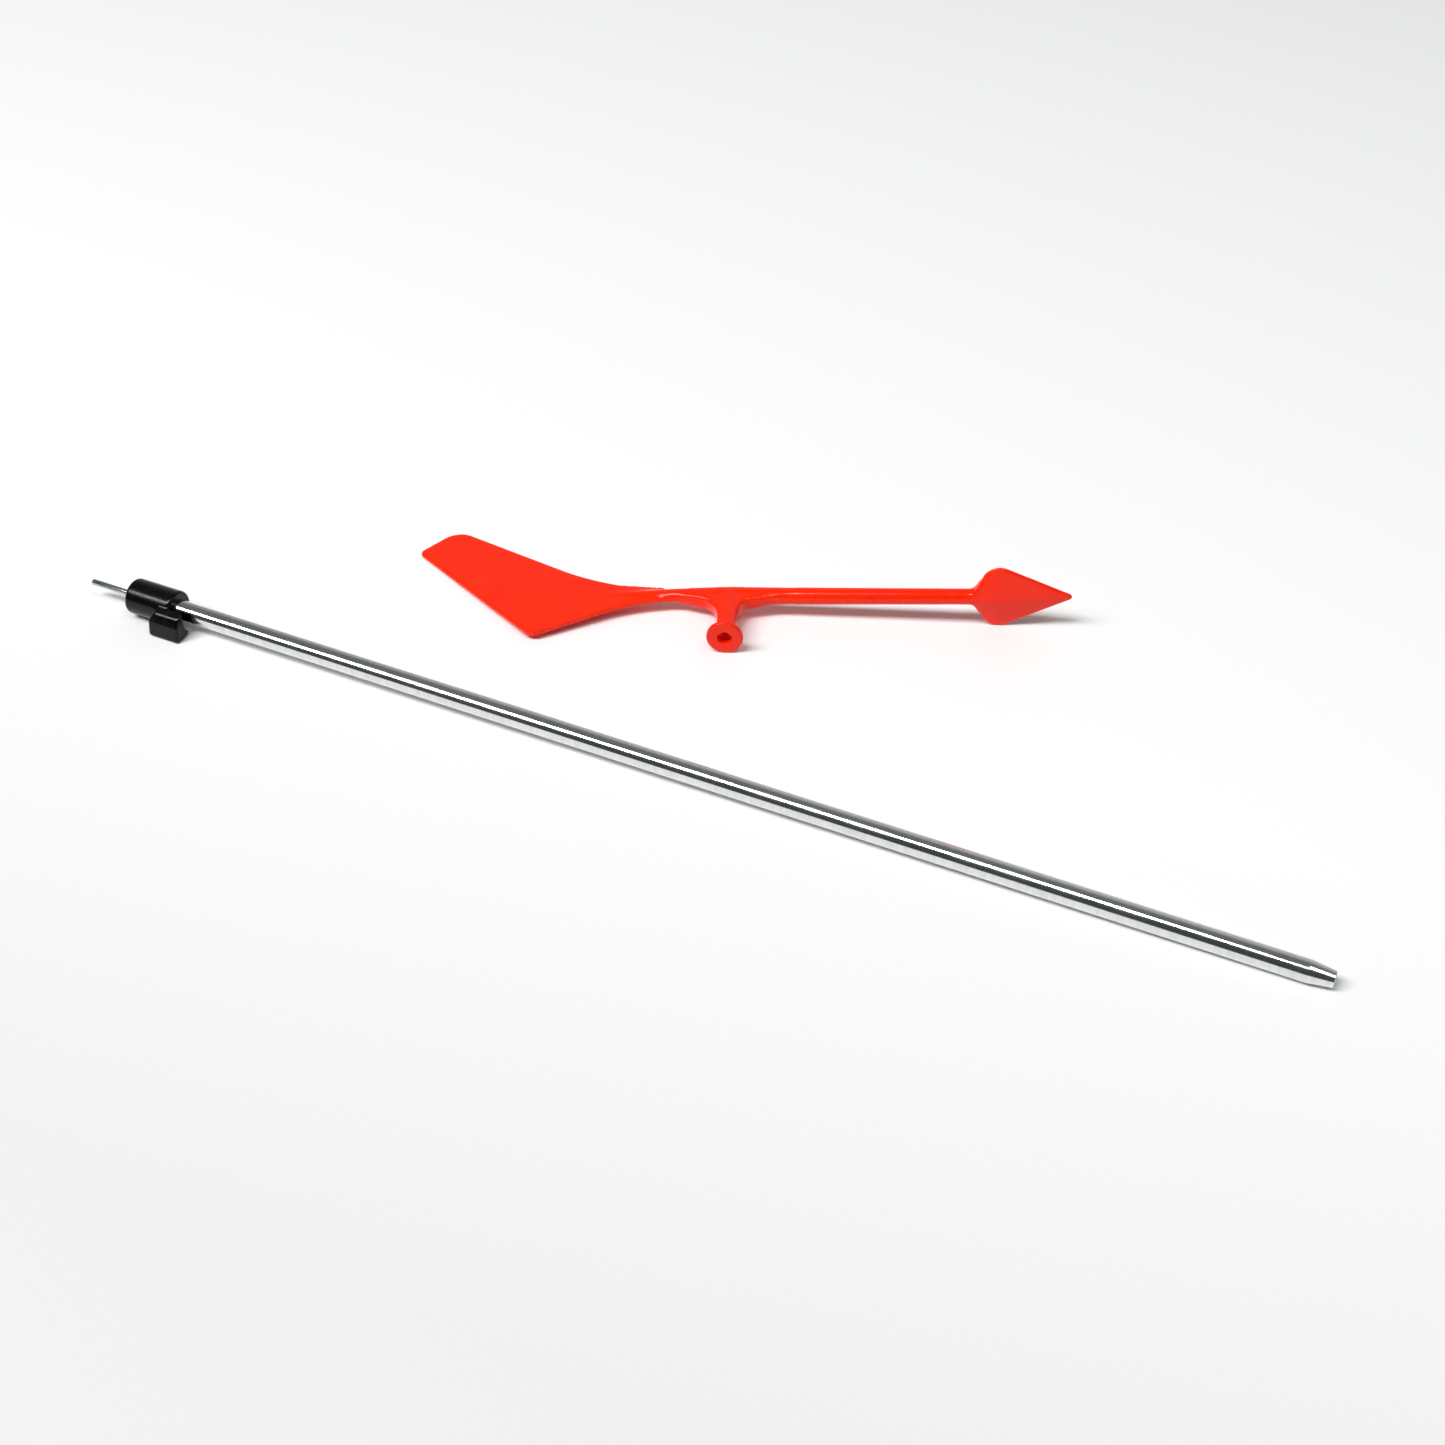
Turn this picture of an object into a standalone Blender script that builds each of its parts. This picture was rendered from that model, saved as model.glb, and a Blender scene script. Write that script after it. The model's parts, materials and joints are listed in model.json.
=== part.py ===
"""Masthead wind indicator for a small dinghy, taken apart: a weather vane lying beside its pole.

The pole is a solid rod with a tapered foot. Its top end carries a moulded collar with a side clip,
and a steel pivot pin. The vane is one moulding: boom, arrowhead, tail fin and a hub whose blind
bore turns on the pin. Units are metres, +Z is up, and everything rests on the plane z = 0.
"""

from math import asin, atan2, cos, pi, radians, sin, tan

import bmesh
import bpy
from mathutils import Matrix, Vector
from mathutils.geometry import interpolate_bezier

MM = 0.001

# Clearance that touching pieces keep between their meshes
FIT_GAP = 0.3 * MM
WELD_DISTANCE = 0.01 * MM

# Rod, measured from its foot end
ROD_DIAMETER = 6.0 * MM
ROD_LENGTH = 351.4 * MM
FOOT_END_DIAMETER = 4.3 * MM
FOOT_TAPER_LENGTH = 6.2 * MM
ROD_TOP_CHAMFER = 0.4 * MM

# Pivot pin, pressed through the collar's end wall into the rod
PIN_DIAMETER = 1.8 * MM
PIN_EXPOSED = 15.7 * MM
PIN_IN_ROD = 10.0 * MM
PIN_TIP_CHAMFER = 0.35 * MM

# Collar, a cap over the rod's top end
COLLAR_DIAMETER = 10.8 * MM
COLLAR_LENGTH = 15.8 * MM
COLLAR_END_WALL = 2.5 * MM
COLLAR_EDGE = 0.45 * MM

# Side clip, moulded on the collar half beside it and half past its open end
CLIP_LENGTH = 10.6 * MM
CLIP_OVERHANG = 5.4 * MM
CLIP_EDGE = 0.3 * MM

# The clip's section, as distances out from the collar's side and in from its top and bottom
CLIP_BITE = 0.2 * MM
CLIP_ROOT_ANGLE = radians(41)
CLIP_TIP_ANGLE = radians(-57)
CLIP_SHOULDER_OUT = 1.9 * MM
CLIP_SHOULDER_DROP = 2.8 * MM
CLIP_SHOULDER_RADIUS = 2.2 * MM
CLIP_FACE_OUT = 2.7 * MM
CLIP_FACE_HEIGHT = 0.3 * MM
CLIP_HEEL_OUT = 3.6 * MM
CLIP_HEEL_RADIUS = 0.7 * MM
CLIP_TOE_IN = 0.8 * MM
CLIP_GROUND_CLEARANCE = 0.1 * MM

# Vane: x runs forwards to the arrowhead, z up from the pole, and the hub's axis is x = y = 0
BOOM_HUB_DIAMETER = 5.5 * MM
BOOM_NECK_DIAMETER = 4.8 * MM
BOOM_HEAD_DIAMETER = 4.8 * MM
NECK_AT = -15.0 * MM
NECK_FADE_AT = -50.0 * MM

# Arrowhead, a flat roof on both sides of a thin rim. Its corners are named before they are rounded
HEAD_BASE_AT = 67.0 * MM
HEAD_WAIST = (73.7 * MM, 5.2 * MM)
HEAD_BARB = (76.9 * MM, 12.1 * MM)
HEAD_BARB_RADIUS = 5.2 * MM
HEAD_TIP_AT = 101.2 * MM
HEAD_TIP_RADIUS = 0.8 * MM
HEAD_RIM = 1.0 * MM
HEAD_BASE_THICKNESS = 1.4 * MM
RIDGE_START_AT = 70.0 * MM
RIDGE_CREST_AT = 77.0 * MM
RIDGE_CREST_HEIGHT = 2.9 * MM
RIDGE_END_AT = 98.5 * MM
RIDGE_END_HEIGHT = 0.7 * MM

# Tail fin, with its corners before they are rounded and the points where its edges start to curve
FIN_THICKNESS = 1.4 * MM
FIN_CREST = (-88.2 * MM, 32.6 * MM)
FIN_CREST_RADIUS = 6.5 * MM
FIN_TAIL = (-98.2 * MM, 21.1 * MM)
FIN_TAIL_RADIUS = 1.8 * MM
FIN_HEEL = (-57.2 * MM, -19.8 * MM)
FIN_HEEL_RADIUS = 3.3 * MM
FIN_TOP_BEND = (-62.0 * MM, 17.4 * MM)
FIN_TOP_PULL = 14.0 * MM
FIN_BOTTOM_BEND = (-41.0 * MM, -10.6 * MM)
FIN_BOTTOM_PULL = 8.0 * MM
MOULD_EDGE = 0.4 * MM

HUB_REACH = 20.5 * MM
HUB_DIAMETER = 6.0 * MM
FLANGE_DIAMETER = 10.8 * MM
FLANGE_THICKNESS = 1.6 * MM
FLANGE_EDGE = 0.4 * MM
WEB_RADIUS = 10.5 * MM
WEB_THICKNESS = 2.6 * MM

# Bore: a running fit on the pin, whose tip bears on the blind end, and a flared mouth
BORE_RADIAL_PLAY = 0.1 * MM
BORE_MOUTH_DIAMETER = 4.3 * MM
BORE_FLARE_DEPTH = 3.0 * MM
HUB_LIFT = 0.5 * MM

# Layout: where the hub axis crosses the boom, from the foot end of the pole, and the boom's heading
VANE_BACK = 194.3 * MM
VANE_ASIDE = 75.1 * MM
VANE_HEADING = radians(20.65)

ROUND_STEPS = 48
ARC_STEPS = 8


def clear_scene():
    for thing in list(bpy.data.objects):
        bpy.data.objects.remove(thing, do_unlink=True)


def new_collection(name):
    group = bpy.data.collections.new(name)
    bpy.context.scene.collection.children.link(group)
    return group


def material(name, colour, roughness, metallic=0.0):
    made = bpy.data.materials.new(name)
    made.use_nodes = True
    shader = made.node_tree.nodes["Principled BSDF"]
    shader.inputs["Base Color"].default_value = (*colour, 1.0)
    shader.inputs["Roughness"].default_value = roughness
    shader.inputs["Metallic"].default_value = metallic
    return made


def add_object(name, data, group, surface=None):
    thing = bpy.data.objects.new(name, data)
    group.objects.link(thing)
    if surface:
        data.materials.append(surface)
    return thing


def as_guide(thing):
    """Mark an object that only shapes others."""
    thing.hide_render = True
    thing.display_type = 'WIRE'
    return thing


def turned(name, profile, group, surface=None):
    """Turn a profile of (radius, height) points, listed from the top down, about the Z axis."""
    mesh = bpy.data.meshes.new(name)
    points = [(radius, 0, height) for radius, height in profile]
    mesh.from_pydata(points, [(i, i + 1) for i in range(len(points) - 1)], [])
    thing = add_object(name, mesh, group, surface)
    screw = thing.modifiers.new("Turn", 'SCREW')
    screw.axis = 'Z'
    screw.steps = ROUND_STEPS
    screw.render_steps = ROUND_STEPS
    screw.use_merge_vertices = True
    screw.merge_threshold = 0.00001
    return thing


def combine(thing, other, operation):
    modifier = thing.modifiers.new(f"{operation.title()} {other.name}", 'BOOLEAN')
    modifier.operation = operation
    modifier.solver = 'EXACT'
    modifier.object = other


def arc(centre, radius, start, end, steps=ARC_STEPS):
    """Points from angle start to angle end about a centre."""
    turns = [start + (end - start) * i / steps for i in range(steps + 1)]
    return [Vector((centre[0] + radius * cos(t), centre[1] + radius * sin(t))) for t in turns]


def rounded(before, corner, after, radius):
    """The arc that rounds off a corner of an outline."""
    before, corner, after = Vector(before), Vector(corner), Vector(after)
    to_before = (before - corner).normalized()
    to_after = (after - corner).normalized()
    half_angle = to_before.angle(to_after) / 2
    centre = corner + (to_before + to_after).normalized() * radius / sin(half_angle)
    start = corner + to_before * radius / tan(half_angle) - centre
    end = corner + to_after * radius / tan(half_angle) - centre
    first = atan2(start.y, start.x)
    sweep = (atan2(end.y, end.x) - first + pi) % (2 * pi) - pi
    return arc(centre, radius, first, first + sweep)


def bend(start, start_pull, end_pull, end, steps=12):
    """A smooth curve between two outline points, pulled by two handles."""
    ends = [Vector((*p, 0)) for p in (start, start_pull, end_pull, end)]
    return [p.to_2d() for p in interpolate_bezier(*ends, steps + 1)]


def mesh_of_curve(name, curve, group):
    """Turn a curve into a closed mesh object, with its caps welded on."""
    source = add_object(name, curve, group)
    depsgraph = bpy.context.evaluated_depsgraph_get()
    mesh = bpy.data.meshes.new_from_object(source.evaluated_get(depsgraph))
    bpy.data.objects.remove(source)
    solid = bmesh.new()
    solid.from_mesh(mesh)
    bmesh.ops.remove_doubles(solid, verts=solid.verts, dist=0.000001)
    solid.to_mesh(mesh)
    solid.free()
    mesh.name = name
    return add_object(name, mesh, group)


def plate(name, outline, thickness, edge, group):
    """A flat plate in the XY plane, centred on z = 0, with rounded rims."""
    curve = bpy.data.curves.new(name, 'CURVE')
    curve.dimensions = '2D'
    curve.fill_mode = 'BOTH'
    curve.extrude = thickness / 2
    spline = curve.splines.new('POLY')
    spline.points.add(len(outline) - 1)
    spline.use_cyclic_u = True
    for point, place in zip(spline.points, outline):
        point.co = (place[0], place[1], 0, 1)
    thing = mesh_of_curve(name, curve, group)
    soften = thing.modifiers.new("Rims", 'BEVEL')
    soften.width = edge
    soften.segments = 2
    soften.limit_method = 'ANGLE'
    soften.angle_limit = radians(50)
    return thing


def tapered_bar(name, stations, group):
    """A round bar along X through (x, radius) stations."""
    curve = bpy.data.curves.new(name, 'CURVE')
    curve.dimensions = '3D'
    curve.bevel_depth = 1.0
    curve.bevel_resolution = 6
    curve.use_fill_caps = True
    spline = curve.splines.new('POLY')
    spline.points.add(len(stations) - 1)
    for point, (x, radius) in zip(spline.points, stations):
        point.co = (x, 0, 0, 1)
        point.radius = radius
    return mesh_of_curve(name, curve, group)


def collar_base_height():
    """Height of the collar's open end above the foot of the upright pole."""
    return ROD_LENGTH + FIT_GAP + COLLAR_END_WALL - COLLAR_LENGTH


def collar_top_height():
    return collar_base_height() + COLLAR_LENGTH


def pin_hole(guides):
    """The drilled hole that takes the pin, through the collar's wall and into the rod."""
    radius = PIN_DIAMETER / 2 + FIT_GAP
    bottom = ROD_LENGTH - PIN_IN_ROD - FIT_GAP
    top = collar_top_height() + PIN_EXPOSED
    return as_guide(turned("pin_hole", [(0, top), (radius, top), (radius, bottom), (0, bottom)], guides))


def build_rod(parts, guides, surface, hole):
    """Drawn rod with a tapered foot and a drilled top end."""
    radius = ROD_DIAMETER / 2
    profile = [
        (0, ROD_LENGTH),
        (radius - ROD_TOP_CHAMFER, ROD_LENGTH),
        (radius, ROD_LENGTH - ROD_TOP_CHAMFER),
        (radius, FOOT_TAPER_LENGTH),
        (FOOT_END_DIAMETER / 2, 0),
        (0, 0),
    ]
    rod = turned("pole_rod", profile, parts, surface)
    combine(rod, hole, 'DIFFERENCE')
    return rod


def build_pin(parts, surface):
    """Steel pin on which the vane turns."""
    radius = PIN_DIAMETER / 2
    top = collar_top_height() + PIN_EXPOSED
    bottom = ROD_LENGTH - PIN_IN_ROD
    profile = [
        (0, top),
        (radius - PIN_TIP_CHAMFER, top),
        (radius, top - PIN_TIP_CHAMFER),
        (radius, bottom),
        (0, bottom),
    ]
    return turned("pivot_pin", profile, parts, surface)


def clip_outline():
    """The clip's section, with x away from the pole's axis towards the clip and y up."""
    side = COLLAR_DIAMETER / 2
    bottom = CLIP_GROUND_CLEARANCE - side
    root = arc((0, 0), side - CLIP_BITE, CLIP_TIP_ANGLE, CLIP_ROOT_ANGLE, 2 * ARC_STEPS)
    face_top = Vector((side + CLIP_FACE_OUT, CLIP_FACE_HEIGHT))
    toe = Vector((side - CLIP_TOE_IN, bottom))
    shoulder_corner = (side + CLIP_SHOULDER_OUT, side - CLIP_SHOULDER_DROP)
    shoulder = rounded(root[-1], shoulder_corner, face_top, CLIP_SHOULDER_RADIUS)
    heel = rounded(face_top, (side + CLIP_HEEL_OUT, bottom), toe, CLIP_HEEL_RADIUS)
    return root + shoulder + [face_top] + heel + [toe]


def build_collar(parts, guides, surface, hole):
    """Moulded cap over the rod's top, with the side clip and the hole for the pin."""
    radius = COLLAR_DIAMETER / 2
    base, top = collar_base_height(), collar_top_height()
    profile = [
        (0, top),
        (radius - COLLAR_EDGE, top),
        (radius, top - COLLAR_EDGE),
        (radius, base + COLLAR_EDGE),
        (radius - COLLAR_EDGE, base),
        (0, base),
    ]
    collar = turned("pivot_collar", profile, parts, surface)

    clip = as_guide(plate("side_clip", clip_outline(), CLIP_LENGTH, CLIP_EDGE, guides))
    clip.location = (0, 0, base - CLIP_OVERHANG + CLIP_LENGTH / 2)
    clip.rotation_euler = (0, 0, radians(-90))
    combine(collar, clip, 'UNION')

    socket_radius = ROD_DIAMETER / 2 + FIT_GAP
    socket_top = ROD_LENGTH + FIT_GAP
    below = base - CLIP_OVERHANG - COLLAR_LENGTH
    socket_profile = [(0, socket_top), (socket_radius, socket_top), (socket_radius, below), (0, below)]
    socket = as_guide(turned("rod_socket", socket_profile, guides))
    combine(collar, socket, 'DIFFERENCE')
    combine(collar, hole, 'DIFFERENCE')
    return collar, [clip, socket]


def head_rim():
    """One side of the arrowhead from its barb to its tip, seen from above."""
    tip = (HEAD_TIP_AT, 0)
    barb = rounded(HEAD_WAIST, HEAD_BARB, tip, HEAD_BARB_RADIUS)
    point = rounded(HEAD_BARB, tip, (HEAD_BARB[0], -HEAD_BARB[1]), HEAD_TIP_RADIUS)
    return barb + point[:ARC_STEPS // 2]


def mirrored(side):
    return side + [Vector((p.x, -p.y)) for p in reversed(side)]


def head_base_outline():
    """The flare that joins the boom to the arrowhead's two barbs."""
    edge = (BOOM_HEAD_DIAMETER - HEAD_BASE_THICKNESS) / 2
    waist = Vector(HEAD_WAIST)
    lean = (Vector(HEAD_BARB) - waist).normalized() * (HEAD_WAIST[1] - edge) / 2
    side = bend((HEAD_BASE_AT, edge), (waist.x - lean.y, edge), waist - lean, waist, ARC_STEPS)
    side.append(head_rim()[0])
    side.append(Vector((HEAD_BARB[0], edge)))
    return mirrored(side)


def head_roof(group):
    """The arrowhead's body: a rim with a ridge above and below it."""
    solid = bmesh.new()
    for point in mirrored(head_rim()):
        solid.verts.new((point.x, point.y, HEAD_RIM / 2))
        solid.verts.new((point.x, point.y, -HEAD_RIM / 2))
    ridge = [
        (RIDGE_START_AT, BOOM_HEAD_DIAMETER / 2),
        (RIDGE_CREST_AT, RIDGE_CREST_HEIGHT),
        (RIDGE_END_AT, RIDGE_END_HEIGHT),
    ]
    for x, height in ridge:
        solid.verts.new((x, 0, height))
        solid.verts.new((x, 0, -height))
    hull = bmesh.ops.convex_hull(solid, input=solid.verts)
    spare = [e for e in hull["geom_interior"] if isinstance(e, bmesh.types.BMVert)]
    bmesh.ops.delete(solid, geom=spare, context='VERTS')
    mesh = bpy.data.meshes.new("head_roof")
    solid.to_mesh(mesh)
    solid.free()
    return add_object("head_roof", mesh, group)


def fin_outline():
    """The swept tail fin seen from the side."""
    neck = BOOM_NECK_DIAMETER / 2 - FIN_THICKNESS / 2
    top_slope = (Vector(FIN_CREST) - Vector(FIN_TOP_BEND)).normalized()
    bottom_slope = (Vector(FIN_HEEL) - Vector(FIN_BOTTOM_BEND)).normalized()
    top_pull = Vector(FIN_TOP_BEND) - top_slope * FIN_TOP_PULL
    bottom_pull = Vector(FIN_BOTTOM_BEND) - bottom_slope * FIN_BOTTOM_PULL
    top = bend((NECK_AT, neck), (NECK_AT - FIN_TOP_PULL, neck), top_pull, FIN_TOP_BEND)
    crest = rounded(FIN_TOP_BEND, FIN_CREST, FIN_TAIL, FIN_CREST_RADIUS)
    tail = rounded(FIN_CREST, FIN_TAIL, FIN_HEEL, FIN_TAIL_RADIUS)
    heel = rounded(FIN_TAIL, FIN_HEEL, FIN_BOTTOM_BEND, FIN_HEEL_RADIUS)
    bottom = bend(FIN_BOTTOM_BEND, bottom_pull, (NECK_AT - FIN_BOTTOM_PULL, -neck), (NECK_AT, -neck))
    return top + crest + tail + heel + bottom


def web_outline():
    """The plate that fillets the hub into the boom, fore and aft."""
    hub = HUB_DIAMETER / 2 - MOULD_EDGE
    boom = -BOOM_NECK_DIAMETER / 2 + MOULD_EDGE
    front = arc((hub + WEB_RADIUS, boom - WEB_RADIUS), WEB_RADIUS, pi, pi / 2, 2 * ARC_STEPS)
    back = arc((-hub - WEB_RADIUS, boom - WEB_RADIUS), WEB_RADIUS, pi / 2, 0, 2 * ARC_STEPS)
    return front + [Vector((front[-1].x, 0)), Vector((back[0].x, 0))] + back


def bore_profile():
    """The hub's blind bore, listed from its closed end down to the mouth."""
    radius = PIN_DIAMETER / 2 + BORE_RADIAL_PLAY
    mouth = -HUB_REACH
    end = mouth + PIN_EXPOSED - HUB_LIFT
    flare = mouth + BORE_FLARE_DEPTH
    below = mouth - HUB_LIFT
    mouth_radius = BORE_MOUTH_DIAMETER / 2
    return [(0, end), (radius, end), (radius, flare), (mouth_radius, mouth), (mouth_radius, below), (0, below)]


def build_vane(parts, guides, surface):
    """One moulding: hub, boom, arrowhead, fin and webs, with the blind bore."""
    flange, hub = FLANGE_DIAMETER / 2, HUB_DIAMETER / 2
    face = -HUB_REACH
    rim_top = face + FLANGE_THICKNESS
    inside_boom = -BOOM_HUB_DIAMETER / 8
    profile = [
        (0, inside_boom),
        (hub, inside_boom),
        (hub, rim_top + FLANGE_EDGE),
        (hub + FLANGE_EDGE, rim_top),
        (flange - FLANGE_EDGE, rim_top),
        (flange, rim_top - FLANGE_EDGE),
        (flange, face + FLANGE_EDGE),
        (flange - FLANGE_EDGE, face),
        (0, face),
    ]
    vane = turned("vane", profile, parts, surface)
    stations = [
        (NECK_FADE_AT, FIN_THICKNESS / 4),
        ((NECK_FADE_AT + NECK_AT) / 2, FIN_THICKNESS),
        (NECK_AT, BOOM_NECK_DIAMETER / 2),
        (0, BOOM_HUB_DIAMETER / 2),
        (HEAD_WAIST[0], BOOM_HEAD_DIAMETER / 2),
        (RIDGE_CREST_AT, HEAD_RIM),
    ]
    boom = tapered_bar("boom", stations, guides)
    head_base = plate("head_base", head_base_outline(), HEAD_BASE_THICKNESS, MOULD_EDGE, guides)
    head = head_roof(guides)
    fin = plate("fin", fin_outline(), FIN_THICKNESS, MOULD_EDGE, guides)
    web = plate("web", web_outline(), WEB_THICKNESS, MOULD_EDGE, guides)
    for upright in (fin, web):
        upright.rotation_euler = (radians(90), 0, 0)
    bore = turned("bore", bore_profile(), guides)
    for piece in (boom, web, fin, head, head_base):
        combine(vane, piece, 'UNION')
    combine(vane, bore, 'DIFFERENCE')
    return vane, [as_guide(piece) for piece in (boom, head, head_base, fin, web, bore)]


def lay_pole(root):
    """An empty at the foot end, turned so that the pole lies on its collar and its foot's shoulder."""
    rise = (COLLAR_DIAMETER - ROD_DIAMETER) / 2
    tilt = asin(rise / (collar_base_height() - FOOT_TAPER_LENGTH))
    empty = bpy.data.objects.new("pole_place", None)
    root.users_collection[0].objects.link(empty)
    empty.parent = root
    empty.location = (0, 0, ROD_DIAMETER / 2 * cos(tilt) - FOOT_TAPER_LENGTH * sin(tilt))
    empty.rotation_euler = (0, tilt - radians(90), 0)
    return empty


def lay_vane(root):
    """An empty on the hub's axis, turned so that barb, flange and tail fin touch the ground."""
    barb_end = max(head_rim(), key=lambda point: point.y)
    barb = Vector((barb_end.x, barb_end.y, -HEAD_RIM / 2))
    flange = Vector((0, FLANGE_DIAMETER / 2, -HUB_REACH))
    tail_end = min(fin_outline(), key=lambda point: point.x)
    tail = Vector((tail_end.x, FIN_THICKNESS / 2, tail_end.y))
    up = (barb - flange).cross(tail - flange).normalized()
    if up.y > 0:
        up.negate()
    forward = (Vector((1, 0, 0)) - up * up.x).normalized()
    aside = up.cross(forward)
    level = Matrix((forward, aside, up)).to_4x4()
    heading = Matrix.Rotation(VANE_HEADING, 4, 'Z')
    height = Matrix.Translation((-VANE_BACK, VANE_ASIDE, -up.dot(barb)))
    empty = bpy.data.objects.new("vane_place", None)
    root.users_collection[0].objects.link(empty)
    empty.parent = root
    empty.matrix_local = height @ heading @ level
    return empty


def centre_footprint(root, pieces):
    """Move everything so that the footprint's middle is the origin."""
    bpy.context.view_layer.update()
    depsgraph = bpy.context.evaluated_depsgraph_get()
    corners = []
    for piece in pieces:
        shaped = piece.evaluated_get(depsgraph)
        corners += [shaped.matrix_world @ vertex.co for vertex in shaped.data.vertices]
    for axis in (0, 1):
        values = [corner[axis] for corner in corners]
        root.location[axis] = -(min(values) + max(values)) / 2


def weld(pieces):
    """Close the slivers that the booleans leave, where two points fall almost on each other."""
    for piece in pieces:
        modifier = piece.modifiers.new("Weld", 'WELD')
        modifier.merge_threshold = WELD_DISTANCE


def smooth(pieces):
    for piece in pieces:
        piece.data.shade_smooth()


def main():
    clear_scene()
    parts = new_collection("wind_indicator")
    guides = new_collection("cutters")
    aluminium = material("bright_aluminium", (0.78, 0.79, 0.78), 0.22, 1.0)
    steel = material("steel", (0.62, 0.63, 0.64), 0.3, 1.0)
    black = material("black_plastic", (0.012, 0.012, 0.014), 0.35)
    red = material("red_plastic", (1.0, 0.045, 0.01), 0.25)

    root = bpy.data.objects.new("layout", None)
    parts.objects.link(root)
    hole = pin_hole(guides)
    rod = build_rod(parts, guides, aluminium, hole)
    pin = build_pin(parts, steel)
    collar, collar_guides = build_collar(parts, guides, black, hole)
    vane, vane_guides = build_vane(parts, guides, red)

    pole_place = lay_pole(root)
    for piece in [rod, pin, collar, hole] + collar_guides:
        piece.parent = pole_place
    vane_place = lay_vane(root)
    for piece in [vane] + vane_guides:
        piece.parent = vane_place
    weld([rod, collar, vane])
    smooth([rod, pin, collar, vane])
    centre_footprint(root, [rod, pin, collar, vane])


main()
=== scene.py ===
import json
from math import pi, radians, tan

import bmesh
import bpy
from mathutils import Matrix, Vector
from mathutils.geometry import interpolate_bezier


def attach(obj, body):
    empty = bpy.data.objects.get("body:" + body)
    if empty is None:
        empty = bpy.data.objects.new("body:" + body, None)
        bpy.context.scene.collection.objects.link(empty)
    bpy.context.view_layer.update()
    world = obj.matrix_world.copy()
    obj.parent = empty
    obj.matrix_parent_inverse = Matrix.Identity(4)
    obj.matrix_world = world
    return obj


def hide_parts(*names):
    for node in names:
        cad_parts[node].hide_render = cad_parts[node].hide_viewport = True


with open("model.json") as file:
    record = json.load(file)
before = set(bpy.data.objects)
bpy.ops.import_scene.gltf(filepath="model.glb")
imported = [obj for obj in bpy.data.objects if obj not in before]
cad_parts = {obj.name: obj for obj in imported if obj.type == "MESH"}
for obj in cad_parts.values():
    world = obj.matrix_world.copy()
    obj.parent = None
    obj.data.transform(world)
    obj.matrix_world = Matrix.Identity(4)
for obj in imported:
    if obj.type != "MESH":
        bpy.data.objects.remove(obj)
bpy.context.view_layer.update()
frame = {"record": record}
record = frame["record"]

# Pole rod. A drawn aluminium rod, 6 mm across, turned down to a taper at its foot and faced
# off square. It lies on the table on its collar and on the shoulder of that taper, so its
# axis is a little off level. Its top end is drilled for the pin, hidden and so not cut here.
MM = 0.001
ROD_RADIUS = 3.0 * MM
ROD_LENGTH = 351.4 * MM
FOOT_RADIUS = 2.15 * MM
FOOT_TAPER = 6.2 * MM
ROD_EDGE = 0.18 * MM
TAPER_CREASE = 4

foot_centre = Vector(record["mounts"][0]["pos_m"])
pole_up = -Vector(record["mounts"][0]["axis"]).normalized()
pole_side = Vector((0, 1, 0))
pole_place = Matrix((pole_side.cross(pole_up), pole_side, pole_up)).transposed().to_4x4()
pole_place.translation = foot_centre


def turned(profile, steps):
    """A solid turned about Z from (radius, height) points that start and end on the axis."""
    solid = bmesh.new()
    line = [solid.verts.new((radius, 0, height)) for radius, height in profile]
    edges = [solid.edges.new(pair) for pair in zip(line, line[1:])]
    bmesh.ops.spin(
        solid, geom=line + edges, cent=(0, 0, 0), axis=(0, 0, 1),
        angle=2 * pi, steps=steps, use_merge=True,
    )
    bmesh.ops.remove_doubles(solid, verts=solid.verts, dist=0.001 * MM)
    bmesh.ops.recalc_face_normals(solid, faces=solid.faces)
    return solid


def break_edges(solid, width, over=25, segments=3):
    """Rounds every edge that is sharper than an angle in degrees."""
    sharp = [
        e for e in solid.edges
        if len(e.link_faces) == 2 and e.calc_face_angle() > radians(over)
    ]
    bmesh.ops.bevel(
        solid, geom=sharp, offset=width, offset_type='OFFSET', segments=segments,
        profile=0.5, affect='EDGES', material=-1, clamp_overlap=True,
    )


def piece_from(solid, name):
    mesh = bpy.data.meshes.new(name)
    solid.to_mesh(mesh)
    solid.free()
    piece = bpy.data.objects.new(name, mesh)
    bpy.context.scene.collection.objects.link(piece)
    return piece


def lay_down(piece, place, crease=35):
    """Puts a finished piece where it lies, and shades it smooth except across creases."""
    piece.data.transform(place)
    piece.data.shade_smooth()
    piece.data.set_sharp_from_angle(angle=radians(crease))


def finish_of(name, colour, roughness, metallic=0.0):
    """A new finish with its shader, ready for the grain and wear of one material."""
    finish = bpy.data.materials.new(name)
    finish.use_nodes = True
    shader = finish.node_tree.nodes["Principled BSDF"]
    shader.inputs["Base Color"].default_value = (*colour, 1)
    shader.inputs["Roughness"].default_value = roughness
    shader.inputs["Metallic"].default_value = metallic
    return finish, finish.node_tree, shader


def grain(tree, turn, stretch, scale, detail=3.0, roughness=0.55):
    """Noise on the piece's own coordinates, turned to lie along it and stretched."""
    where = tree.nodes.new("ShaderNodeTexCoord")
    along = tree.nodes.new("ShaderNodeMapping")
    along.inputs["Rotation"].default_value = turn
    along.inputs["Scale"].default_value = stretch
    noise = tree.nodes.new("ShaderNodeTexNoise")
    noise.inputs["Scale"].default_value = scale
    noise.inputs["Detail"].default_value = detail
    noise.inputs["Roughness"].default_value = roughness
    tree.links.new(where.outputs["Object"], along.inputs["Vector"])
    tree.links.new(along.outputs["Vector"], noise.inputs["Vector"])
    return noise.outputs["Fac"]


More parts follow.
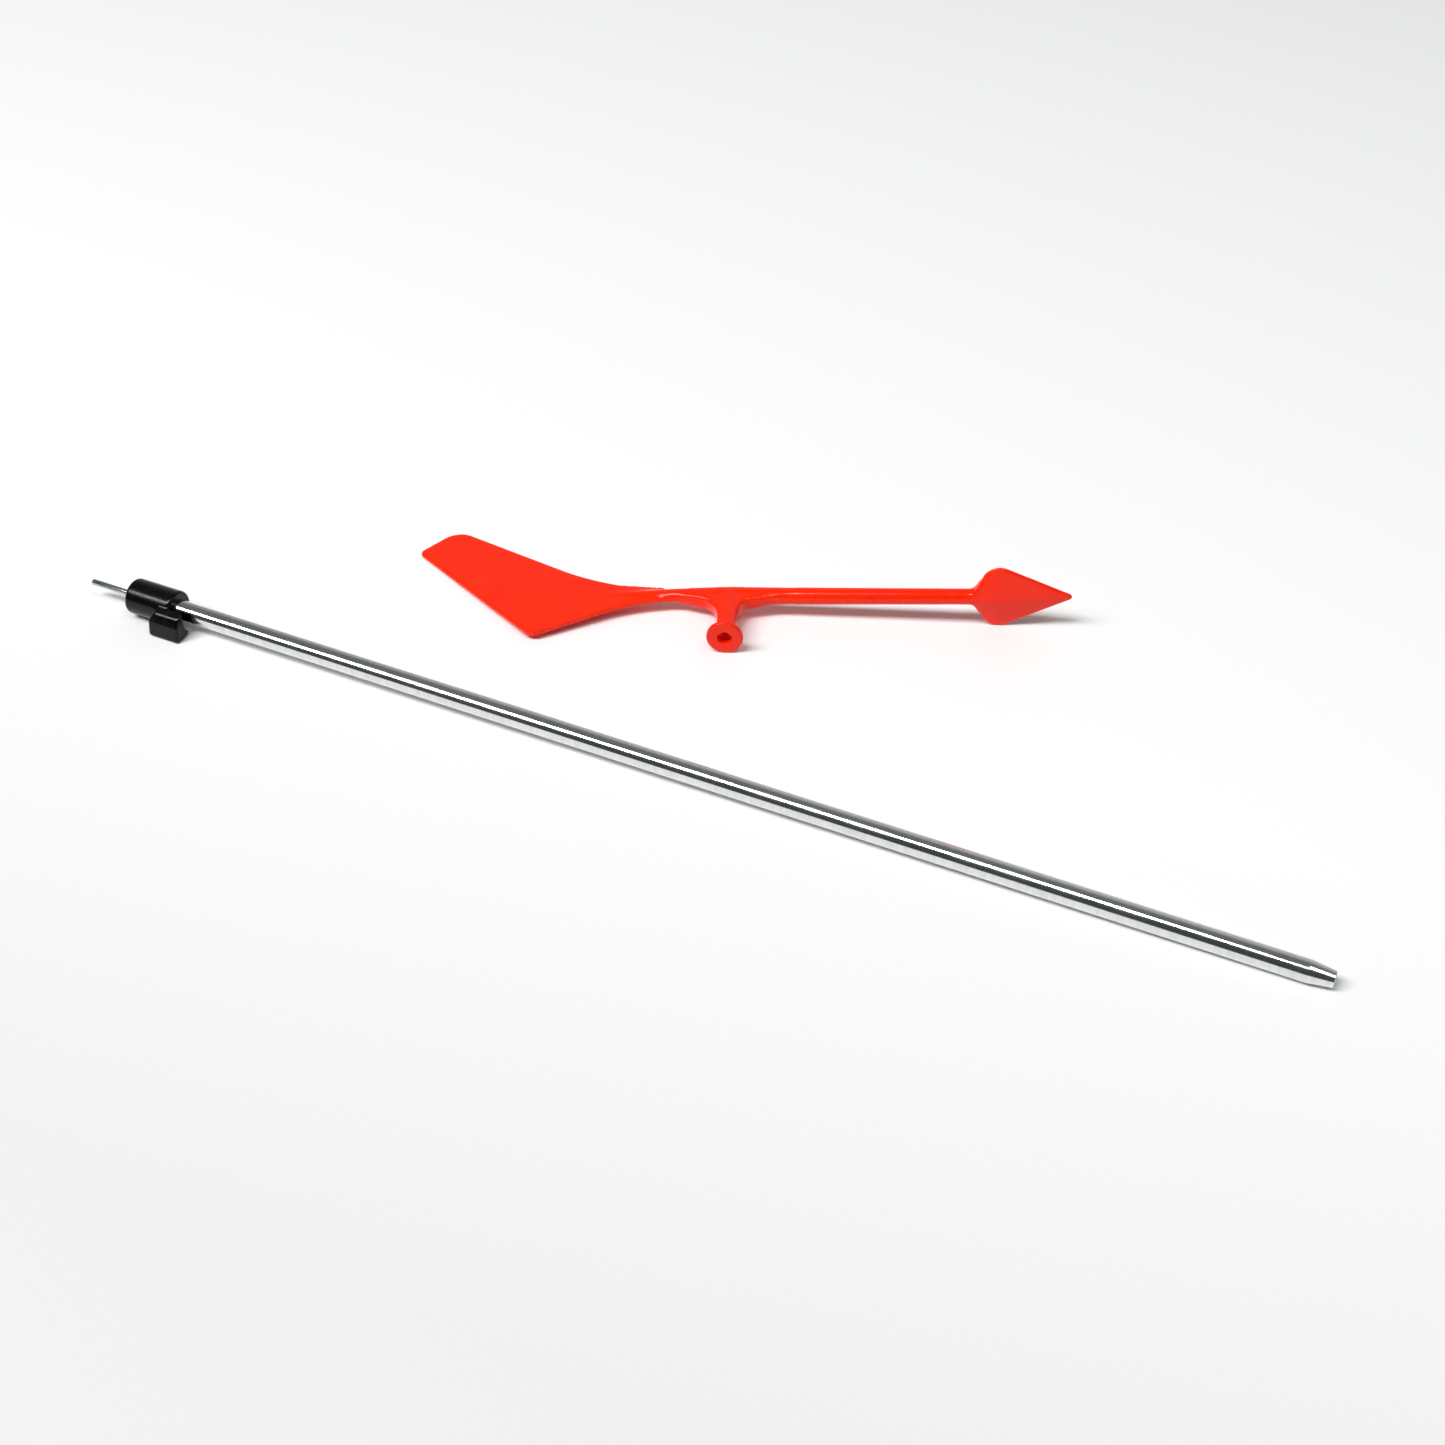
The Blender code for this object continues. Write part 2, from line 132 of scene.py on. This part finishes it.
def spread(tree, value, low, high, start=0.35, end=0.65):
    """Maps a grain onto the range of a roughness."""
    ranged = tree.nodes.new("ShaderNodeMapRange")
    ranged.inputs["From Min"].default_value = start
    ranged.inputs["From Max"].default_value = end
    ranged.inputs["To Min"].default_value = low
    ranged.inputs["To Max"].default_value = high
    tree.links.new(value, ranged.inputs["Value"])
    return ranged.outputs["Result"]


def tint(tree, value, dark, light, start=0.35, end=0.65):
    """Maps a grain onto two close colours."""
    ramp = tree.nodes.new("ShaderNodeValToRGB")
    ramp.color_ramp.elements[0].position = start
    ramp.color_ramp.elements[0].color = (*dark, 1)
    ramp.color_ramp.elements[1].position = end
    ramp.color_ramp.elements[1].color = (*light, 1)
    tree.links.new(value, ramp.inputs["Fac"])
    return ramp.outputs["Color"]


def relief(tree, shader, value, depth, strength, under=None):
    """Bumps the surface by a grain whose full height is depth."""
    bump = tree.nodes.new("ShaderNodeBump")
    bump.inputs["Distance"].default_value = depth
    bump.inputs["Strength"].default_value = strength
    tree.links.new(value, bump.inputs["Height"])
    if under:
        tree.links.new(under, bump.inputs["Normal"])
    tree.links.new(bump.outputs["Normal"], shader.inputs["Normal"])
    return bump.outputs["Normal"]


rod = turned(
    [
        (0, ROD_LENGTH),
        (ROD_RADIUS, ROD_LENGTH),
        (ROD_RADIUS, FOOT_TAPER),
        (FOOT_RADIUS, 0),
        (0, 0),
    ],
    128,
)
break_edges(rod, ROD_EDGE)
rod = piece_from(rod, "rod")
lay_down(rod, pole_place, TAPER_CREASE)

aluminium, tree, shader = finish_of("drawn_aluminium", (0.75, 0.755, 0.745), 0.12, 1.0)
along_rod = (0, radians(90), 0)
die_lines = grain(tree, along_rod, (1, 1, 0.006), 5200)
streaks = grain(tree, along_rod, (1, 1, 0.02), 900)
handling = grain(tree, along_rod, (1, 1, 0.25), 160)
bright = tint(tree, streaks, (0.69, 0.7, 0.69), (0.78, 0.785, 0.775))
tree.links.new(bright, shader.inputs["Base Color"])
tree.links.new(spread(tree, handling, 0.09, 0.15), shader.inputs["Roughness"])
drawn = relief(tree, shader, streaks, 0.008 * MM, 0.25)
relief(tree, shader, die_lines, 0.004 * MM, 0.35, drawn)
rod.data.materials.append(aluminium)
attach(rod, "pole")
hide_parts("pole_rod")

# Pivot pin. A ground steel pin, 1.8 mm across, pressed through the end wall of the collar into
# the rod. Its tip is faced off and its corner broken: the end of the vane's bore bears on it.
PIN_RADIUS = 0.9 * MM
PIN_TIP = 369.9 * MM
PIN_ROOT = 341.4 * MM
PIN_EDGE = 0.16 * MM

pin = turned(
    [
        (0, PIN_TIP),
        (PIN_RADIUS, PIN_TIP),
        (PIN_RADIUS, PIN_ROOT),
        (0, PIN_ROOT),
    ],
    64,
)
break_edges(pin, PIN_EDGE)
pin = piece_from(pin, "pin")
lay_down(pin, pole_place, 30)

steel, tree, shader = finish_of("ground_steel", (0.56, 0.57, 0.58), 0.24, 1.0)
grinding = grain(tree, along_rod, (0.05, 0.05, 1), 9000)
blotches = grain(tree, along_rod, (1, 1, 1), 700)
ground = tint(tree, blotches, (0.4, 0.43, 0.45), (0.48, 0.51, 0.53))
tree.links.new(ground, shader.inputs["Base Color"])
tree.links.new(spread(tree, grinding, 0.14, 0.24), shader.inputs["Roughness"])
relief(tree, shader, grinding, 0.002 * MM, 0.2)
pin.data.materials.append(steel)
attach(pin, "pole")
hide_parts("pivot_pin")

# Collar. A black moulded cap over the top of the rod, with a clip on the side that lies towards
# the viewer. The clip starts a third of the way up the cap and runs on past its open end as a
# jaw round the rod. Cap and clip are one moulding, so the corners between them are soft.
COLLAR_RADIUS = 5.4 * MM
COLLAR_OPEN_END = 338.4 * MM
COLLAR_CLOSED_END = 354.2 * MM
COLLAR_EDGE = 0.8 * MM
COLLAR_SKIN = 0.15 * MM
CLIP_LENGTH = 10.6 * MM
CLIP_OVERHANG = 5.4 * MM
CLIP_EDGE = 0.7 * MM
CLIP_CORNER_CUT = 2.4 * MM
JAW_RADIUS = 5.2 * MM
SOCKET_RADIUS = 3.04 * MM
SOCKET_END_GAP = 0.3 * MM
PIN_HOLE_RADIUS = 1.2 * MM
CUT_PAST = 5 * MM


def slab(corners, low, high):
    """A flat plate between two heights, its corners (x, y), or (x, y, radius) to be rounded."""
    solid = bmesh.new()
    outline = []
    befores = corners[-1:] + corners[:-1]
    afters = corners[1:] + corners[:1]
    for before, corner, after in zip(befores, corners, afters):
        point = Vector(corner[:2])
        if len(corner) == 2:
            outline.append(point)
            continue
        back = (Vector(before[:2]) - point).normalized()
        on = (Vector(after[:2]) - point).normalized()
        bend = pi - back.angle(on)
        cut = corner[2] * tan(bend / 2)
        pull = corner[2] * tan(bend / 4) * 4 / 3
        start, end = point + back * cut, point + on * cut
        outline += interpolate_bezier(start, start - back * pull, end - on * pull, end, 24)
    rim = [solid.verts.new((*place.xy, low)) for place in outline]
    bmesh.ops.contextual_create(solid, geom=rim)
    grown = bmesh.ops.extrude_face_region(solid, geom=list(solid.faces), use_keep_orig=True)
    top = [v for v in grown["geom"] if isinstance(v, bmesh.types.BMVert)]
    bmesh.ops.translate(solid, verts=top, vec=(0, 0, high - low))
    bmesh.ops.recalc_face_normals(solid, faces=solid.faces)
    return solid


def turn(solid, angle, axis):
    turning = Matrix.Rotation(angle, 3, axis)
    bmesh.ops.rotate(solid, verts=solid.verts, cent=(0, 0, 0), matrix=turning)


def moulded(name, shapes, fineness, passes):
    """Fuses overlapping solids into one skin whose inner corners are soft, as a moulding's are."""
    stock = bmesh.new()
    for shape in shapes:
        part = bpy.data.meshes.new("shape")
        shape.to_mesh(part)
        shape.free()
        stock.from_mesh(part)
        bpy.data.meshes.remove(part)
    rough = piece_from(stock, name + "_rough")
    skin = rough.modifiers.new("Skin", 'REMESH')
    skin.mode = 'VOXEL'
    skin.voxel_size = fineness
    fused = bmesh.new()
    fused.from_mesh(rough.evaluated_get(bpy.context.evaluated_depsgraph_get()).to_mesh())
    bpy.data.objects.remove(rough)
    for count, chosen in passes:
        moved = [v for v in fused.verts if chosen(v.co)]
        for _ in range(count):
            bmesh.ops.smooth_vert(
                fused, verts=moved, factor=0.5, use_axis_x=True, use_axis_y=True, use_axis_z=True,
            )
    return piece_from(fused, name)


def bored(piece, cutter):
    """Cuts a turned hole in a piece."""
    tool = piece_from(cutter, "cutter")
    cut = piece.modifiers.new("Bore", 'BOOLEAN')
    cut.operation = 'DIFFERENCE'
    cut.solver = 'EXACT'
    cut.object = tool
    cut_piece = piece.evaluated_get(bpy.context.evaluated_depsgraph_get())
    finished = bpy.data.meshes.new_from_object(cut_piece)
    piece.modifiers.clear()
    piece.data = finished
    bpy.data.objects.remove(tool)


cap = turned(
    [
        (0, COLLAR_CLOSED_END),
        (COLLAR_RADIUS, COLLAR_CLOSED_END),
        (COLLAR_RADIUS, COLLAR_OPEN_END),
        (0, COLLAR_OPEN_END),
    ],
    96,
)
break_edges(cap, COLLAR_EDGE)

clip_start = COLLAR_OPEN_END - CLIP_OVERHANG
clip_end = clip_start + CLIP_LENGTH
clip = slab(
    [
        (3.2 * MM, 3.5 * MM),
        (7.0 * MM, 2.0 * MM, 2.6 * MM),
        (8.2 * MM, -0.6 * MM),
        (9.0 * MM, -5.3 * MM, 0.7 * MM),
        (4.6 * MM, -5.3 * MM),
        (2.4 * MM, -4.13 * MM),
    ],
    clip_start,
    clip_end,
)
break_edges(clip, CLIP_EDGE, over=50)
bmesh.ops.bisect_plane(
    clip, geom=list(clip.verts) + list(clip.edges) + list(clip.faces), clear_outer=True,
    plane_co=(4.6 * MM, 3.6 * MM, clip_end - CLIP_CORNER_CUT), plane_no=(0.25, 0.62, 0.74),
)
bmesh.ops.holes_fill(clip, edges=[e for e in clip.edges if e.is_boundary])
turn(clip, radians(-90), 'Z')
clip = piece_from(clip, "clip")
bored(clip, turned(
    [
        (0, 400 * MM),
        (JAW_RADIUS, 400 * MM),
        (JAW_RADIUS, 300 * MM),
        (0, 300 * MM),
    ],
    96,
))
clip_jaw = bmesh.new()
clip_jaw.from_mesh(clip.data)
bpy.data.objects.remove(clip)

collar = moulded(
    "collar",
    [cap, clip_jaw],
    COLLAR_SKIN,
    [(6, lambda at: True), (14, lambda at: at.y < -3.6 * MM and at.x > 0.6 * MM)],
)
bored(collar, turned(
    [
        (0, ROD_LENGTH + SOCKET_END_GAP),
        (SOCKET_RADIUS, ROD_LENGTH + SOCKET_END_GAP),
        (SOCKET_RADIUS, clip_start - 3 * CUT_PAST),
        (0, clip_start - 3 * CUT_PAST),
    ],
    96,
))
bored(collar, turned(
    [
        (0, COLLAR_CLOSED_END + CUT_PAST),
        (PIN_HOLE_RADIUS, COLLAR_CLOSED_END + CUT_PAST),
        (PIN_HOLE_RADIUS, ROD_LENGTH - CUT_PAST),
        (0, ROD_LENGTH - CUT_PAST),
    ],
    64,
))
lay_down(collar, pole_place, 40)

black, tree, shader = finish_of("black_moulding", (0.002, 0.002, 0.003), 0.2)
shader.inputs["Specular IOR Level"].default_value = 0.25
texture = grain(tree, (0, 0, 0), (1, 1, 1), 5200, detail=2.0)
rubs = grain(tree, along_rod, (1, 1, 0.1), 700)
rubbed = tint(tree, rubs, (0.001, 0.001, 0.002), (0.002, 0.002, 0.0035))
tree.links.new(rubbed, shader.inputs["Base Color"])
tree.links.new(spread(tree, rubs, 0.16, 0.26), shader.inputs["Roughness"])
relief(tree, shader, texture, 0.004 * MM, 0.25)
collar.data.materials.append(black)
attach(collar, "pole")
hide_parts("pivot_collar")

# Vane. One glossy orange-red moulding: a round boom that thickens towards the hub, a ridged
# arrowhead at its front, a thin swept fin at its tail, and a flanged hub joined to the boom by
# a web fore and aft. The blind bore in the hub runs on the pin. It lies on its side, on the
# arrowhead's lower barb, the flange's rim and the tail of the fin.
HUB_RADIUS = 3.0 * MM
HUB_REACH = 20.5 * MM
FLANGE_RADIUS = 5.4 * MM
FLANGE_THICKNESS = 1.6 * MM
FIN_THICKNESS = 1.4 * MM
HEAD_RIM = 1.0 * MM
HEAD_ROOT_THICKNESS = 1.4 * MM
WEB_THICKNESS = 4.6 * MM
WEB_EDGE = 1.3 * MM
HUB_EDGE = 0.4 * MM
VANE_SKIN = 0.3 * MM
BORE_RADIUS = 1.0 * MM
BORE_MOUTH = 2.15 * MM
BORE_MOUTH_FLOOR = 2.0 * MM
BORE_DEPTH = 15.2 * MM

vane_up = Vector(record["behaviour"]["joints"][0]["axis"]).normalized()
vane_forward = Vector((0.934279, 0.352103, 0.056083))
vane_forward = (vane_forward - vane_up * vane_forward.dot(vane_up)).normalized()
vane_place = Matrix((vane_forward, vane_up.cross(vane_forward), vane_up)).transposed().to_4x4()
vane_place.translation = Vector(record["behaviour"]["joints"][0]["pos_m"])

boom = turned(
    [
        (0, -56 * MM),
        (0.3 * MM, -52 * MM),
        (0.6 * MM, -42 * MM),
        (1.0 * MM, -33 * MM),
        (1.6 * MM, -25 * MM),
        (2.15 * MM, -18.5 * MM),
        (2.4 * MM, -13 * MM),
        (2.6 * MM, -7 * MM),
        (2.75 * MM, 0),
        (2.73 * MM, 6 * MM),
        (2.6 * MM, 20 * MM),
        (2.47 * MM, 45 * MM),
        (2.42 * MM, 66 * MM),
        (2.42 * MM, 72 * MM),
        (2.2 * MM, 75.5 * MM),
        (1.2 * MM, 80 * MM),
        (0, 82 * MM),
    ],
    64,
)
turn(boom, radians(90), 'Y')

head = slab(
    [
        (73.7 * MM, 5.2 * MM),
        (76.4 * MM, 12.2 * MM, 5.2 * MM),
        (101.5 * MM, 0, 0.9 * MM),
        (76.4 * MM, -12.2 * MM, 5.2 * MM),
        (73.7 * MM, -5.2 * MM),
    ],
    -HEAD_RIM / 2,
    HEAD_RIM / 2,
)
for ridge_at, ridge_height in ((70.5, 2.45), (77.0, 3.0), (98.5, 0.8)):
    for side in (1, -1):
        head.verts.new((ridge_at * MM, 0, side * ridge_height * MM))
hull = bmesh.ops.convex_hull(head, input=head.verts)
inner = [e for e in hull["geom_interior"] if isinstance(e, bmesh.types.BMVert)]
bmesh.ops.delete(head, geom=inner, context='VERTS')
bmesh.ops.recalc_face_normals(head, faces=head.faces)

head_root = slab(
    [
        (64.0 * MM, 2.0 * MM),
        (72.2 * MM, 2.0 * MM, 3.4 * MM),
        (74.3 * MM, 6.5 * MM),
        (78.0 * MM, 6.5 * MM),
        (78.0 * MM, -6.5 * MM),
        (74.3 * MM, -6.5 * MM),
        (72.2 * MM, -2.0 * MM, 3.4 * MM),
        (64.0 * MM, -2.0 * MM),
    ],
    -HEAD_ROOT_THICKNESS / 2,
    HEAD_ROOT_THICKNESS / 2,
)

fin = slab(
    [
        (-6.0 * MM, 2.0 * MM),
        (-35.1 * MM, 2.0 * MM, 76 * MM),
        (-88.2 * MM, 32.8 * MM, 6.5 * MM),
        (-98.4 * MM, 21.1 * MM, 1.8 * MM),
        (-57.3 * MM, -20.0 * MM, 3.3 * MM),
        (-25.9 * MM, -2.0 * MM, 53 * MM),
        (-6.0 * MM, -2.0 * MM),
    ],
    -FIN_THICKNESS / 2,
    FIN_THICKNESS / 2,
)
turn(fin, radians(90), 'X')

web = slab(
    [
        (15.0 * MM, 0),
        (15.0 * MM, -2.1 * MM),
        (2.6 * MM, -2.1 * MM, 8.8 * MM),
        (2.6 * MM, -16.0 * MM),
        (-2.6 * MM, -16.0 * MM),
        (-2.6 * MM, -2.1 * MM, 10.8 * MM),
        (-15.0 * MM, -2.1 * MM),
        (-15.0 * MM, 0),
    ],
    -WEB_THICKNESS / 2,
    WEB_THICKNESS / 2,
)
break_edges(web, WEB_EDGE, over=50)
turn(web, radians(90), 'X')

hub = turned(
    [
        (0, 0.5 * MM),
        (HUB_RADIUS, 0.5 * MM),
        (HUB_RADIUS, FLANGE_THICKNESS - HUB_REACH),
        (FLANGE_RADIUS, FLANGE_THICKNESS - HUB_REACH),
        (FLANGE_RADIUS, -HUB_REACH),
        (0, -HUB_REACH),
    ],
    96,
)
break_edges(hub, HUB_EDGE)

vane = moulded(
    "vane",
    [boom, head, head_root, fin, web, hub],
    VANE_SKIN,
    [
        (3, lambda at: True),
        (12, lambda at: 1.5 * MM < abs(at.x) < 18 * MM and at.z > -10 * MM),
        (26, lambda at: 4 * MM < abs(at.x) < 20 * MM and at.z > -7 * MM),
        (40, lambda at: -60 * MM < at.x < -12 * MM and abs(at.y) > 0.62 * MM),
        (14, lambda at: 62 * MM < at.x < 76 * MM and abs(at.y) < 7 * MM),
        (8, lambda at: 15 * MM < at.x < 66 * MM),
    ],
)
bored(vane, turned(
    [
        (0, BORE_DEPTH - HUB_REACH),
        (BORE_RADIUS, BORE_DEPTH - HUB_REACH),
        (BORE_RADIUS, 3.2 * MM - HUB_REACH),
        (BORE_MOUTH_FLOOR, 2.6 * MM - HUB_REACH),
        (BORE_MOUTH, -HUB_REACH),
        (BORE_MOUTH, -HUB_REACH - 2 * MM),
        (0, -HUB_REACH - 2 * MM),
    ],
    64,
))
lay_down(vane, vane_place, 50)

red, tree, shader = finish_of("red_moulding", (1.0, 0.02, 0.0), 0.16)
shader.inputs["Specular IOR Level"].default_value = 0.27
clouds = grain(tree, (0, 0, 0), (1, 1, 1), 55, detail=2.0)
ripple = grain(tree, (0, 0, 0), (1, 1, 1), 320, detail=1.5)
skin_grain = grain(tree, (0, 0, 0), (1, 1, 1), 4200, detail=2.0)
pigment = tint(tree, clouds, (0.96, 0.018, 0.0), (1.0, 0.023, 0.0))
tree.links.new(pigment, shader.inputs["Base Color"])
tree.links.new(spread(tree, ripple, 0.13, 0.2), shader.inputs["Roughness"])
rippled = relief(tree, shader, ripple, 0.01 * MM, 0.12)
relief(tree, shader, skin_grain, 0.002 * MM, 0.15, rippled)
vane.data.materials.append(red)
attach(vane, "vane")
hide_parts("vane")

# Table. A plain matt white sheet that fills the main view, and whose far edge only a low camera
# sees. Its colour is painted greyer towards the front: painted shade where the light falls off.
# It lies a hair under the pieces, so that no faces coincide.
TABLE_REACH = 4.0
TABLE_DROP = 0.03 * MM
TABLE_FRONT = -0.22
TABLE_BACK = 0.2

table = bmesh.new()
bmesh.ops.create_grid(table, x_segments=1, y_segments=1, size=TABLE_REACH)
bmesh.ops.translate(table, verts=table.verts, vec=(0, 0, -TABLE_DROP))
table = piece_from(table, "table")
white, tree, shader = finish_of("white_table", (0.9, 0.9, 0.9), 0.75)
fibre = grain(tree, (0, 0, 0), (1, 1, 1), 900, detail=4.0)
where = tree.nodes.new("ShaderNodeTexCoord")
split = tree.nodes.new("ShaderNodeSeparateXYZ")
near_to_far = tree.nodes.new("ShaderNodeMapRange")
near_to_far.inputs["From Min"].default_value = TABLE_FRONT
near_to_far.inputs["From Max"].default_value = TABLE_BACK
fibre_and_painted_shade = tree.nodes.new("ShaderNodeMix")
fibre_and_painted_shade.data_type = 'RGBA'
fibre_and_painted_shade.blend_type = 'MULTIPLY'
fibre_and_painted_shade.inputs["Factor"].default_value = 1
tree.links.new(where.outputs["Object"], split.inputs["Vector"])
tree.links.new(split.outputs["Y"], near_to_far.inputs["Value"])
# Painted shade: the table's colour darkens from back to front, standing in for weaker light at the
# front.
painted_front_shade = tint(
    tree, near_to_far.outputs["Result"], (0.79, 0.785, 0.785), (0.965, 0.965, 0.965), 0, 0.5,
)
# The painted shade is multiplied by the fibre's random tone.
tree.links.new(painted_front_shade, fibre_and_painted_shade.inputs["A"])
tree.links.new(tint(tree, fibre, (0.985, 0.985, 0.985), (1, 1, 1)), fibre_and_painted_shade.inputs["B"])
tree.links.new(fibre_and_painted_shade.outputs["Result"], shader.inputs["Base Color"])
shader.inputs["Specular IOR Level"].default_value = 0.15
table.data.materials.append(white)

# Light. A long strip softbox above, in front and to the left, a smaller one up to the right, and
# a dim tent round them: grey behind the table, darker overhead and nearly black in front.
viewer = foot_centre.xy.to_3d() + Vector((2.66, -345.4, 342.2)) * MM
subject = foot_centre.xy.to_3d() + Vector((-174.05, 27.22, 0)) * MM


def softbox(name, place, heading, width, depth, power):
    """A soft lamp that faces the subject, its long side turned to a heading."""
    lamp = bpy.data.lights.new(name, 'AREA')
    lamp.shape = 'RECTANGLE'
    lamp.size = width
    lamp.size_y = depth
    lamp.energy = power
    away = Vector(place).normalized()
    along = Matrix.Rotation(heading, 3, 'Z') @ Vector((1, 0, 0))
    across = away.cross(along).normalized()
    holder = bpy.data.objects.new(name, lamp)
    holder.matrix_world = Matrix((across.cross(away), across, away)).transposed().to_4x4()
    holder.location = subject + Vector(place)
    bpy.context.scene.collection.objects.link(holder)


softbox("strip_softbox", (-1.0, -1.36, 2.6), radians(20), 2.4, 0.75, 97)
softbox("side_softbox", (0.85, -0.4, 2.0), 0, 0.45, 0.9, 7)

tent = bpy.data.worlds.new("tent")
tent.use_nodes = True
sky = tent.node_tree
where = sky.nodes.new("ShaderNodeTexCoord")
split = sky.nodes.new("ShaderNodeSeparateXYZ")
depth = sky.nodes.new("ShaderNodeMapRange")
depth.inputs["From Min"].default_value = -1
shade = sky.nodes.new("ShaderNodeValToRGB")
shade.color_ramp.elements[0].color = (0.05, 0.065, 0.06, 1)
shade.color_ramp.elements[1].color = (0.6, 0.6, 0.61, 1)
for back, grey in ((0.3, 0.07), (0.5, 0.15), (0.7, 0.17), (0.8, 0.28), (0.93, 0.5)):
    shade.color_ramp.elements.new(back).color = (grey, grey * 1.04, grey * 1.04, 1)
sky.links.new(where.outputs["Generated"], split.inputs["Vector"])
sky.links.new(split.outputs["Y"], depth.inputs["Value"])
sky.links.new(depth.outputs["Result"], shade.inputs["Fac"])
sky.links.new(shade.outputs["Color"], sky.nodes["Background"].inputs["Color"])
bpy.context.scene.world = tent
bpy.context.scene.view_settings.view_transform = 'Standard'

# Camera, looking down at the table from the pole's side.
camera = bpy.data.cameras.new("camera")
camera.sensor_width = 36
camera.lens = 48.0
holder = bpy.data.objects.new("camera", camera)
holder.location = viewer
holder.rotation_euler = (subject - viewer).to_track_quat('-Z', 'Y').to_euler()
bpy.context.scene.collection.objects.link(holder)
bpy.context.scene.camera = holder
